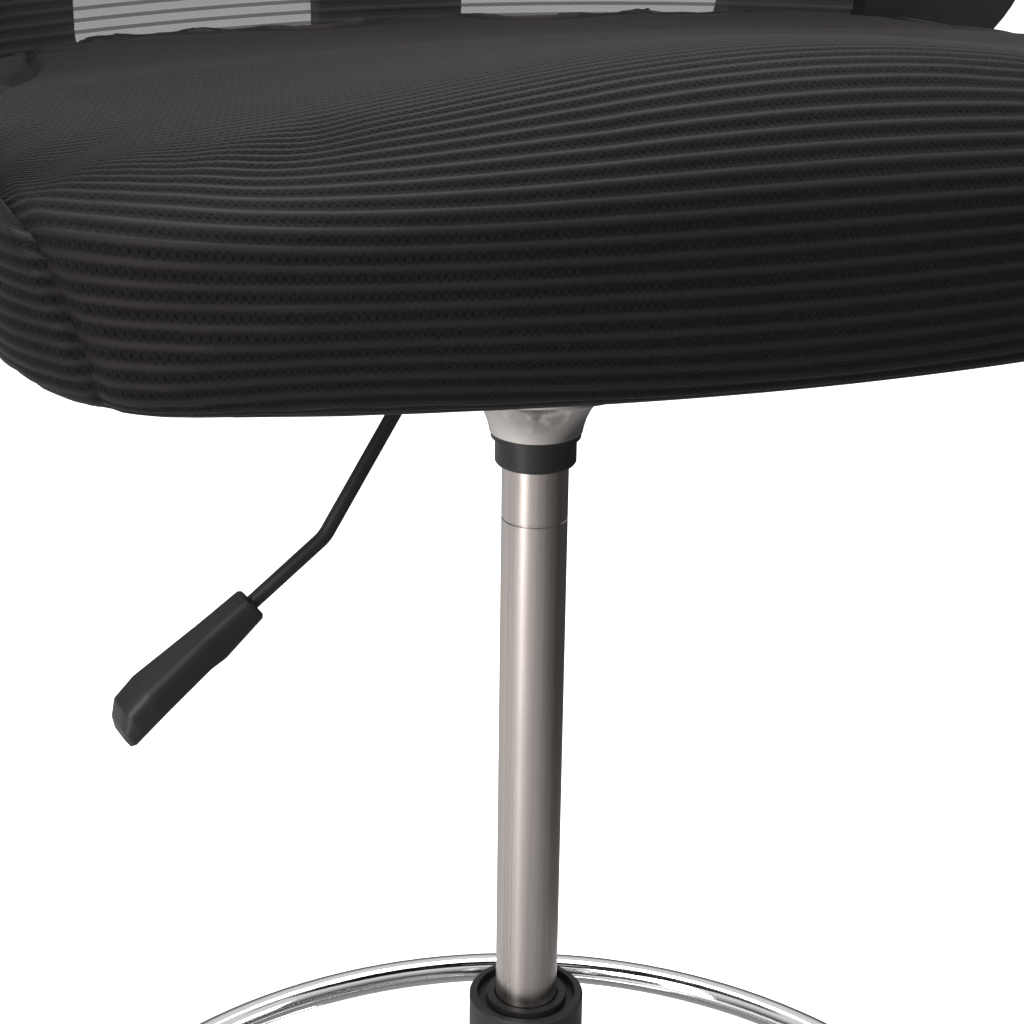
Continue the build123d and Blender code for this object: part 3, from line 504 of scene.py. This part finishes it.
# The main panel's rows are found by looking outward from a line inside the seat: round the nose,
# over the top, and round the rear.
FAN_HEIGHT = 0.812
FAN_FRONT_Y = -0.205
FAN_REAR_Y = 0.112
FAN_FRONT_BEND = 62 * MM
FAN_FRONT_HALF = 0.226
FAN_REAR_BEND = 50 * MM
FAN_REAR_HALF = 0.18
UNDER_ANGLE = math.radians(-62)
FAN_SCALE = 75 * MM
PROFILE_SAMPLES = 900
ROW_STEP = 0.8 * MM
SEAM_SINK = 2.8 * MM
SEAM_WIDTH = 7 * MM
SEAM_INSET = 16 * MM
SEAM_NOSE_HALF = 0.2265
SEAM_NOSE_TAPER = 34 * MM
SEAM_REAR_TAPER = 18 * MM
SEAM_REAR_SETBACK = 15 * MM
SEAM_BLEND_FROM = 0.25
TAPER_FROM = math.radians(30)
TAPER_OVER = math.radians(92)
PANEL_COLUMNS = 97
PANEL_CROWD = 0.82
RIB_FADE = 3 * MM
HEM_FADE = 26 * MM


def fan_origin(x, part):
    """A point inside the seat: part runs from 0 at the nose to 1 at the rear."""
    front = FAN_FRONT_Y + FAN_FRONT_BEND * (abs(x) / FAN_FRONT_HALF) ** 4
    rear = FAN_REAR_Y - FAN_REAR_BEND * (abs(x) / FAN_REAR_HALF) ** 4
    return Vector((x, front + (rear - front) * part, FAN_HEIGHT))


def profile_ray(share):
    """How a row is looked for: its part along the inner line, its angle and its direction."""
    turn = (math.pi / 2 - UNDER_ANGLE) * FAN_SCALE
    flat = FAN_REAR_Y - FAN_FRONT_Y
    place = share * (2 * turn + flat)
    if place < turn:
        angle = UNDER_ANGLE + place / FAN_SCALE
        return 0.0, angle, Vector((0, -math.cos(angle), math.sin(angle)))
    if place < turn + flat:
        return (place - turn) / flat, math.pi / 2, Vector((0, 0, 1))
    angle = math.pi / 2 - (place - turn - flat) / FAN_SCALE
    return 1.0, angle, Vector((0, math.cos(angle), math.sin(angle)))


def seam_half(part, angle):
    """Half the main panel's width at a row: it narrows as it goes down the nose and the rear."""
    down = min(1.0, max(0.0, (TAPER_FROM - angle) / TAPER_OVER))
    if part == 0.0:
        return SEAM_NOSE_HALF - SEAM_NOSE_TAPER * down**1.3
    rear = half_width_at(FAN_REAR_Y - SEAM_REAR_SETBACK) - SEAM_INSET
    if part == 1.0:
        return rear - SEAM_REAR_TAPER * down
    if part <= SEAM_BLEND_FROM:
        return SEAM_NOSE_HALF
    y = FAN_FRONT_Y + (FAN_REAR_Y - FAN_FRONT_Y) * part
    ease = part**3
    return (half_width_at(y) - SEAM_INSET) * (1 - ease) + rear * ease


def even_rows(surface):
    """Shares of the profile a ROW_STEP apart along the middle of the seat, and its whole length."""
    lengths, last = [0.0], None
    for index in range(PROFILE_SAMPLES + 1):
        part, _, direction = profile_ray(index / PROFILE_SAMPLES)
        point = surface.ray_cast(fan_origin(0.0, part), direction)[0]
        if last is not None:
            lengths.append(lengths[-1] + (point - last).length)
        last = point
    count = int(lengths[-1] / ROW_STEP)
    shares, at = [], 0
    for row in range(count + 1):
        target = row * lengths[-1] / count
        while at < PROFILE_SAMPLES - 1 and lengths[at + 1] < target:
            at += 1
        part = (target - lengths[at]) / (lengths[at + 1] - lengths[at])
        shares.append((at + part) / PROFILE_SAMPLES)
    return shares, lengths[-1]


def rib_wave(distance, pitch):
    """Height of the fabric over its base: narrow round ribs with wide valleys between them."""
    return RIB_HEIGHT * (0.5 + 0.5 * math.cos(2 * math.pi * distance / pitch)) ** 1.8


def fade(value, width):
    """0 at a seam, rising smoothly to 1 a width away from it."""
    share = min(1.0, max(0.0, value / width))
    return share * share * (3 - 2 * share)


def dressed(hit, normal, gap, distance, pitch):
    """A cover point: the base surface, ribbed, and drawn in where it nears a seam."""
    lift = rib_wave(distance, pitch) * fade(gap, RIB_FADE)
    shallow = fade(hit.z - SEAT_BOTTOM, HEM_FADE)
    return hit + normal * (lift - SEAM_SINK * shallow * (1 - fade(gap, SEAM_WIDTH)))


def main_panel(surface):
    """The ribbed panel over the nose, the top and the rear, and the two lines of its seams."""
    shares, girth = even_rows(surface)
    columns, rows = PANEL_COLUMNS, len(shares)
    crowd = math.sin(math.pi / 2 * PANEL_CROWD)
    vertices, uvs, seams = [], [], {-1: [], 1: []}
    for r, share in enumerate(shares):
        part, angle, direction = profile_ray(share)
        half = seam_half(part, angle)
        distance = r * girth / (rows - 1)
        for c in range(columns):
            # the columns crowd towards the seams, where the cloth turns over
            x = half * math.sin((-1 + 2 * c / (columns - 1)) * math.pi / 2 * PANEL_CROWD) / crowd
            hit, normal, _, _ = surface.ray_cast(fan_origin(x, part), direction)
            vertices.append(dressed(hit, normal, half - abs(x), distance, RIB_PITCH))
            uvs.append((x, distance))
            if c in (0, columns - 1):
                seams[-1 if c == 0 else 1].append((part, angle, hit))
    obj = new_piece("seat_cushion_cover", vertices, grid_faces(rows, columns), uvs)
    return obj, seams


def along(line, share):
    """The point at a share of a line of points, by length."""
    lengths = [0.0]
    for a, b in zip(line, line[1:]):
        lengths.append(lengths[-1] + (b - a).length)
    target = share * lengths[-1]
    for index in range(1, len(line)):
        if lengths[index] >= target:
            step = lengths[index] - lengths[index - 1]
            part = (target - lengths[index - 1]) / step if step else 0.0
            return line[index - 1].lerp(line[index], part)
    return line[-1]


SIDE_CORNER = math.radians(52)
SIDE_COLUMNS = 150
SIDE_ROWS = 112
SIDE_HEM_INSET = 22 * MM
SIDE_BLEND = 0.12
SIDE_LENGTH = 0.36
# the line inside the seat that the side panel's rows are looked for from
SIDE_AXIS_X = 0.165
SIDE_AXIS_FRONT_Y = -0.165
SIDE_AXIS_REAR_Y = 0.06


def side_panel(surface, seam, side):
    """The panel down one side, stretched between the seam and the hem under the seat."""
    front = [hit for part, angle, hit in seam if part == 0.0 and angle < SIDE_CORNER][::-1]
    rear = [hit for part, angle, hit in seam if part == 1.0 and angle < SIDE_CORNER]
    upper = [hit for part, angle, hit in seam if angle >= SIDE_CORNER]
    columns, rows = SIDE_COLUMNS, SIDE_ROWS
    start, finish = front[-1], rear[-1]
    hem = []
    for c in range(columns):
        u = c / (columns - 1)
        y = start.y + (finish.y - start.y) * u
        bow = half_width_at(min(max(y, FRONT_CORNER[1]), REAR_CORNER[1])) - SIDE_HEM_INSET
        ends = abs(start.x) + (abs(finish.x) - abs(start.x)) * u
        blend = fade(min(u, 1 - u), SIDE_BLEND)
        hem.append(Vector((side * (ends + (bow - ends) * blend), y, SEAT_BOTTOM)))
    vertices, uvs = [], []
    for c in range(columns):
        u = c / (columns - 1)
        over = along(upper, u)
        for r in range(rows):
            v = r / (rows - 1)
            sides = along(front, v) * (1 - u) + along(rear, v) * u
            ends = over * (1 - v) + hem[c] * v
            head, foot = upper[0] * (1 - u) + upper[-1] * u, hem[0] * (1 - u) + hem[-1] * u
            target = sides + ends - (head * (1 - v) + foot * v)
            inner_y = min(max(target.y, SIDE_AXIS_FRONT_Y), SIDE_AXIS_REAR_Y)
            inner = Vector((side * SIDE_AXIS_X, inner_y, FAN_HEIGHT))
            hit, normal, _, _ = surface.ray_cast(inner, (target - inner).normalized())
            gap = min(v * (over - hem[c]).length, u * SIDE_LENGTH, (1 - u) * SIDE_LENGTH)
            height = hit.z - SEAT_BOTTOM
            vertices.append(dressed(hit, normal, gap, height, SIDE_PITCH))
            uvs.append((hit.y, height))
    return new_piece("side_panel", vertices, grid_faces(columns, rows, flip=side > 0), uvs)


def make_cushion():
    form = swollen(form_mesh())
    surface = surface_of(form)
    cover, seams = main_panel(surface)
    panels = [side_panel(surface, seams[side], side) for side in (-1, 1)]
    for vertex, normal in [(v, v.normal.copy()) for v in form.data.vertices]:
        vertex.co -= normal * CORE_INSET
    for index, obj in enumerate([cover, *panels, form]):
        for material in (seat_fabric, side_fabric, lining_cloth):
            obj.data.materials.append(material)
        for face in obj.data.polygons:
            face.material_index = (0, 1, 1, 2)[index]
    bpy.ops.object.select_all(action="DESELECT")
    for obj in (cover, *panels, form):
        obj.select_set(True)
    bpy.context.view_layer.objects.active = cover
    bpy.ops.object.join()
    cover.data.shade_smooth()
    return cover


cushion = make_cushion()
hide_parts("seat_cushion")
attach(cushion, "seat")


# ------------------------------------------------------------------ lining under the seat
LINING_INSET = 28 * MM
LINING_RINGS = 30
LINING_SECTORS = 160
lining_low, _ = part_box("dust_cover")


def make_lining():
    """The thin cloth stapled under the seat, sagging a little between its staples."""
    rings, sectors = LINING_RINGS, LINING_SECTORS
    vertices, faces = [(0.0, SEAT_MIDDLE_Y, lining_low[2])], []
    for ring in range(1, rings + 1):
        for sector in range(sectors):
            angle = 2 * math.pi * sector / sectors
            share = ring / rings
            reach = (outline_reach(angle) - LINING_INSET) * share
            wave = 0.5 * math.sin(13 * angle) * math.sin(29 * angle) * share**6
            z = lining_low[2] + (0.4 * MM * wave - 0.3 * MM)
            vertices.append((reach * math.cos(angle), SEAT_MIDDLE_Y + reach * math.sin(angle), z))
    for sector in range(sectors):
        faces.append((0, 1 + (sector + 1) % sectors, 1 + sector))
    for ring in range(rings - 1):
        for sector in range(sectors):
            a = 1 + ring * sectors + sector
            b = 1 + ring * sectors + (sector + 1) % sectors
            faces.append((a, b, b + sectors, a + sectors))
    return new_piece("seat_lining", vertices, faces)


lining = make_lining()
lining.data.materials.append(lining_cloth)
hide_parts("dust_cover")
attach(lining, "seat")


# ------------------------------------------------------------------ lever paddle
PADDLE_START = Vector((-0.124, -0.029, 0.628))
PADDLE_AXIS = Vector((-57, -9, -41)).normalized()
PADDLE_SIDES = 28
PADDLE_RINGS = 90
PADDLE_SQUARENESS = 3.4
# distance along the paddle, half width, underside and top, millimetres
PADDLE_SECTIONS = (
    (4.0, 5.6, -5.4, 5.2),
    (5.2, 6.6, -6.4, 6.2),
    (26.0, 7.6, -8.4, 7.0),
    (33.0, 8.4, -7.2, 7.2),
    (57.0, 10.6, -7.4, 8.0),
    (68.0, 10.4, -8.2, 6.4),
    (73.5, 9.2, -8.8, 1.2),
    (75.5, 7.2, -8.2, -3.0),
)


def section(x_axis, y_axis, centre, half_width, low, high):
    """Points round a rounded rectangle, for lofting."""
    points = []
    middle, half_height = (low + high) / 2, (high - low) / 2
    for index in range(PADDLE_SIDES):
        angle = 2 * math.pi * (index + 0.5) / PADDLE_SIDES
        c, s = math.cos(angle), math.sin(angle)
        across = math.copysign(abs(c) ** (2 / PADDLE_SQUARENESS), c) * half_width
        up = math.copysign(abs(s) ** (2 / PADDLE_SQUARENESS), s) * half_height + middle
        points.append(centre + x_axis * across + y_axis * up)
    return points


def between(rows, place):
    """The row of a table at a place along it, eased between its neighbours."""
    for first, second in zip(rows, rows[1:]):
        if place <= second[0]:
            share = (place - first[0]) / (second[0] - first[0])
            return [a + (b - a) * share for a, b in zip(first, second)]
    return rows[-1]


def make_paddle():
    """The soft-edged plastic grip pushed onto the lever's end."""
    up = (Vector((0, 0, 1)) - PADDLE_AXIS * PADDLE_AXIS.z).normalized()
    side = PADDLE_AXIS.cross(up)
    count, rings = PADDLE_SIDES, PADDLE_RINGS
    vertices, faces = [], []
    for ring in range(rings):
        share = 0.5 * (1 - math.cos(math.pi * ring / (rings - 1)))
        place = PADDLE_SECTIONS[0][0] + (PADDLE_SECTIONS[-1][0] - PADDLE_SECTIONS[0][0]) * share
        along_it, half, low, high = (value * MM for value in between(PADDLE_SECTIONS, place))
        vertices += section(side, up, PADDLE_START + PADDLE_AXIS * along_it, half, low, high)
    for ring in range(rings - 1):
        for index in range(count):
            a, b = ring * count + index, ring * count + (index + 1) % count
            faces.append((a, b, b + count, a + count))
    faces.append(tuple(range(count))[::-1])
    faces.append(tuple(range((rings - 1) * count, rings * count)))
    return new_piece("lever_paddle_grip", vertices, faces)


paddle = make_paddle()
paddle.data.materials.append(black_plastic)
paddle.data.set_sharp_from_angle(angle=math.radians(50))
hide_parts("lever_paddle")
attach(paddle, "lever")


# ------------------------------------------------------------------ back mesh
mesh_low, mesh_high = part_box("back_mesh")
KNIT_MARGIN = 0.4 * MM
KNIT_CORNER = 41 * MM
KNIT_COLUMNS = 71
KNIT_RIB = 0.35 * MM
KNIT_STANDOFF = 0.2


def make_back_mesh():
    """The stretched knit, laid over the CAD sheet's front with a geometric rib every few millimetres."""
    sheet = surface_of(frame["nodes"]["back_mesh"])
    half = mesh_high[0] - KNIT_MARGIN
    bottom, top = mesh_low[2] + KNIT_MARGIN, mesh_high[2] - KNIT_MARGIN
    corner, columns = KNIT_CORNER, KNIT_COLUMNS
    rows = int((top - bottom) / (BACK_RIB_PITCH / 6))
    start = mesh_low[1] - KNIT_STANDOFF
    vertices, uvs = [], []
    for r in range(rows + 1):
        z = bottom + (top - bottom) * r / rows
        inset = 0.0
        edge = min(z - bottom, top - z)
        if edge < corner:
            inset = corner - math.sqrt(corner**2 - (corner - edge) ** 2)
        for c in range(columns):
            x = (-1 + 2 * c / (columns - 1)) * (half - inset)
            hit = sheet.ray_cast(Vector((x, start, z)), Vector((0, 1, 0)))[0]
            if hit is None:
                hit = sheet.find_nearest(Vector((x, start + KNIT_STANDOFF, z)))[0]
            lift = KNIT_RIB * max(0.0, math.cos(2 * math.pi * (z - bottom) / BACK_RIB_PITCH))
            vertices.append(hit + Vector((0, -lift, 0)))
            uvs.append((x, z - bottom))
    obj = new_piece("back_mesh_knit", vertices, grid_faces(rows + 1, columns), uvs)
    obj.data.materials.append(back_fabric)
    return obj


back_knit = make_back_mesh()
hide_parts("back_mesh")
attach(back_knit, "seat")


# ------------------------------------------------------------------ camera and light
LENS_PIXELS = 2150
FRAME_PIXELS = 1024
camera_data = bpy.data.cameras.new("camera")
camera_data.sensor_width = 36
camera_data.lens = 36 * LENS_PIXELS / FRAME_PIXELS
camera_data.clip_start = 0.05
camera_data.clip_end = 30
camera = bpy.data.objects.new("camera", camera_data)
bpy.context.scene.collection.objects.link(camera)
bpy.context.scene.camera = camera
CAMERA_AZIMUTH = math.radians(-20)
CAMERA_DISTANCE = 0.8337
CAMERA_HEIGHT = 0.9737
LOOK_AZIMUTH = math.radians(-19.35)
LOOK_DOWN = math.radians(22)
CAMERA_ROLL = math.radians(0.78)


def place_camera():
    camera.location = (
        CAMERA_DISTANCE * math.sin(CAMERA_AZIMUTH),
        -CAMERA_DISTANCE * math.cos(CAMERA_AZIMUTH),
        CAMERA_HEIGHT,
    )
    ahead = Vector(
        (
            -math.sin(LOOK_AZIMUTH) * math.cos(LOOK_DOWN),
            math.cos(LOOK_AZIMUTH) * math.cos(LOOK_DOWN),
            -math.sin(LOOK_DOWN),
        )
    )
    turn = ahead.to_track_quat("-Z", "Y")
    camera.rotation_mode = "QUATERNION"
    camera.rotation_quaternion = turn @ Matrix.Rotation(CAMERA_ROLL, 3, "Z").to_quaternion()


place_camera()

FLOOR_HALF = 30.0
floor = new_piece("floor", [(x, y, 0) for x, y in ((-1, -1), (1, -1), (1, 1), (-1, 1))], [(0, 1, 2, 3)])
floor.scale = (FLOOR_HALF, FLOOR_HALF, 1)


def pale_floor():
    """White to the camera; towards the right it is darker in reflections, a painted shade that stands in
    for a studio flag.
    """
    s = Shader("studio_floor")
    split = s.node("SeparateXYZ")
    s.feed(split.inputs[0], s.node("NewGeometry").outputs["Position"])
    # painted shade: for all rays but the camera's, the floor's colour falls from light at the left to dark
    # at the right
    painted_flag_shade = s.spread(split.outputs[0], -0.9, 0.9, 0.62, 0.05)
    seen = s.node("LightPath").outputs["Is Camera Ray"]
    tone = s.math("MAXIMUM", painted_flag_shade, s.math("MULTIPLY", seen, 0.93), clamp=True)
    joined = s.node("CombineColor")
    for socket in joined.inputs:
        s.feed(socket, tone)
    s.set(base_color=joined.outputs[0], roughness=1.0, specular_ior_level=0.0)
    s.set(emission_color=colour(1, 1, 1), emission_strength=s.math("MULTIPLY", seen, 0.62))
    return s.material


floor.data.materials.append(pale_floor())


def area_light(name, place, target, size, power, tint=(1, 1, 1)):
    data = bpy.data.lights.new(name, "AREA")
    data.shape = "RECTANGLE"
    data.size, data.size_y = size
    data.energy = power
    data.color = tint
    light = bpy.data.objects.new(name, data)
    light.location = place
    light.rotation_euler = (Vector(target) - Vector(place)).to_track_quat("-Z", "Y").to_euler()
    bpy.context.scene.collection.objects.link(light)


SEAT_AIM = (0, 0, 0.8)
area_light("key", (-2.0, -1.6, 2.2), SEAT_AIM, (1.2, 1.8), 46, (1.0, 0.97, 0.94))
area_light("top", (0.1, 0.5, 2.9), SEAT_AIM, (2.0, 1.4), 62)
area_light("strip", (-1.5, -0.9, 0.55), (0, 0, 0.5), (0.35, 1.1), 9, (1.0, 0.93, 0.90))
area_light("fill", (2.2, -1.9, 1.4), SEAT_AIM, (1.0, 1.4), 9)


def studio_world():
    """White to the camera, with a dark belt near the horizon for what shines."""
    world = bpy.data.worlds.new("studio")
    world.use_nodes = True
    tree = world.node_tree
    background = tree.nodes["Background"]
    split = tree.nodes.new("ShaderNodeSeparateXYZ")
    tree.links.new(tree.nodes.new("ShaderNodeTexCoord").outputs["Generated"], split.inputs[0])
    belt = tree.nodes.new("ShaderNodeMapRange")
    for socket, value in zip(belt.inputs, (None, 0.18, 0.62, 0.10, 0.78)):
        if value is not None:
            socket.default_value = value
    tree.links.new(split.outputs[2], belt.inputs[0])
    path = tree.nodes.new("ShaderNodeLightPath")
    seen = tree.nodes.new("ShaderNodeMath")
    seen.operation = "MAXIMUM"
    tree.links.new(belt.outputs[0], seen.inputs[0])
    tree.links.new(path.outputs["Is Camera Ray"], seen.inputs[1])
    background.inputs["Color"].default_value = colour(1, 1, 1)
    tree.links.new(seen.outputs[0], background.inputs["Strength"])
    return world


bpy.context.scene.world = studio_world()
bpy.context.scene.view_settings.view_transform = "Standard"
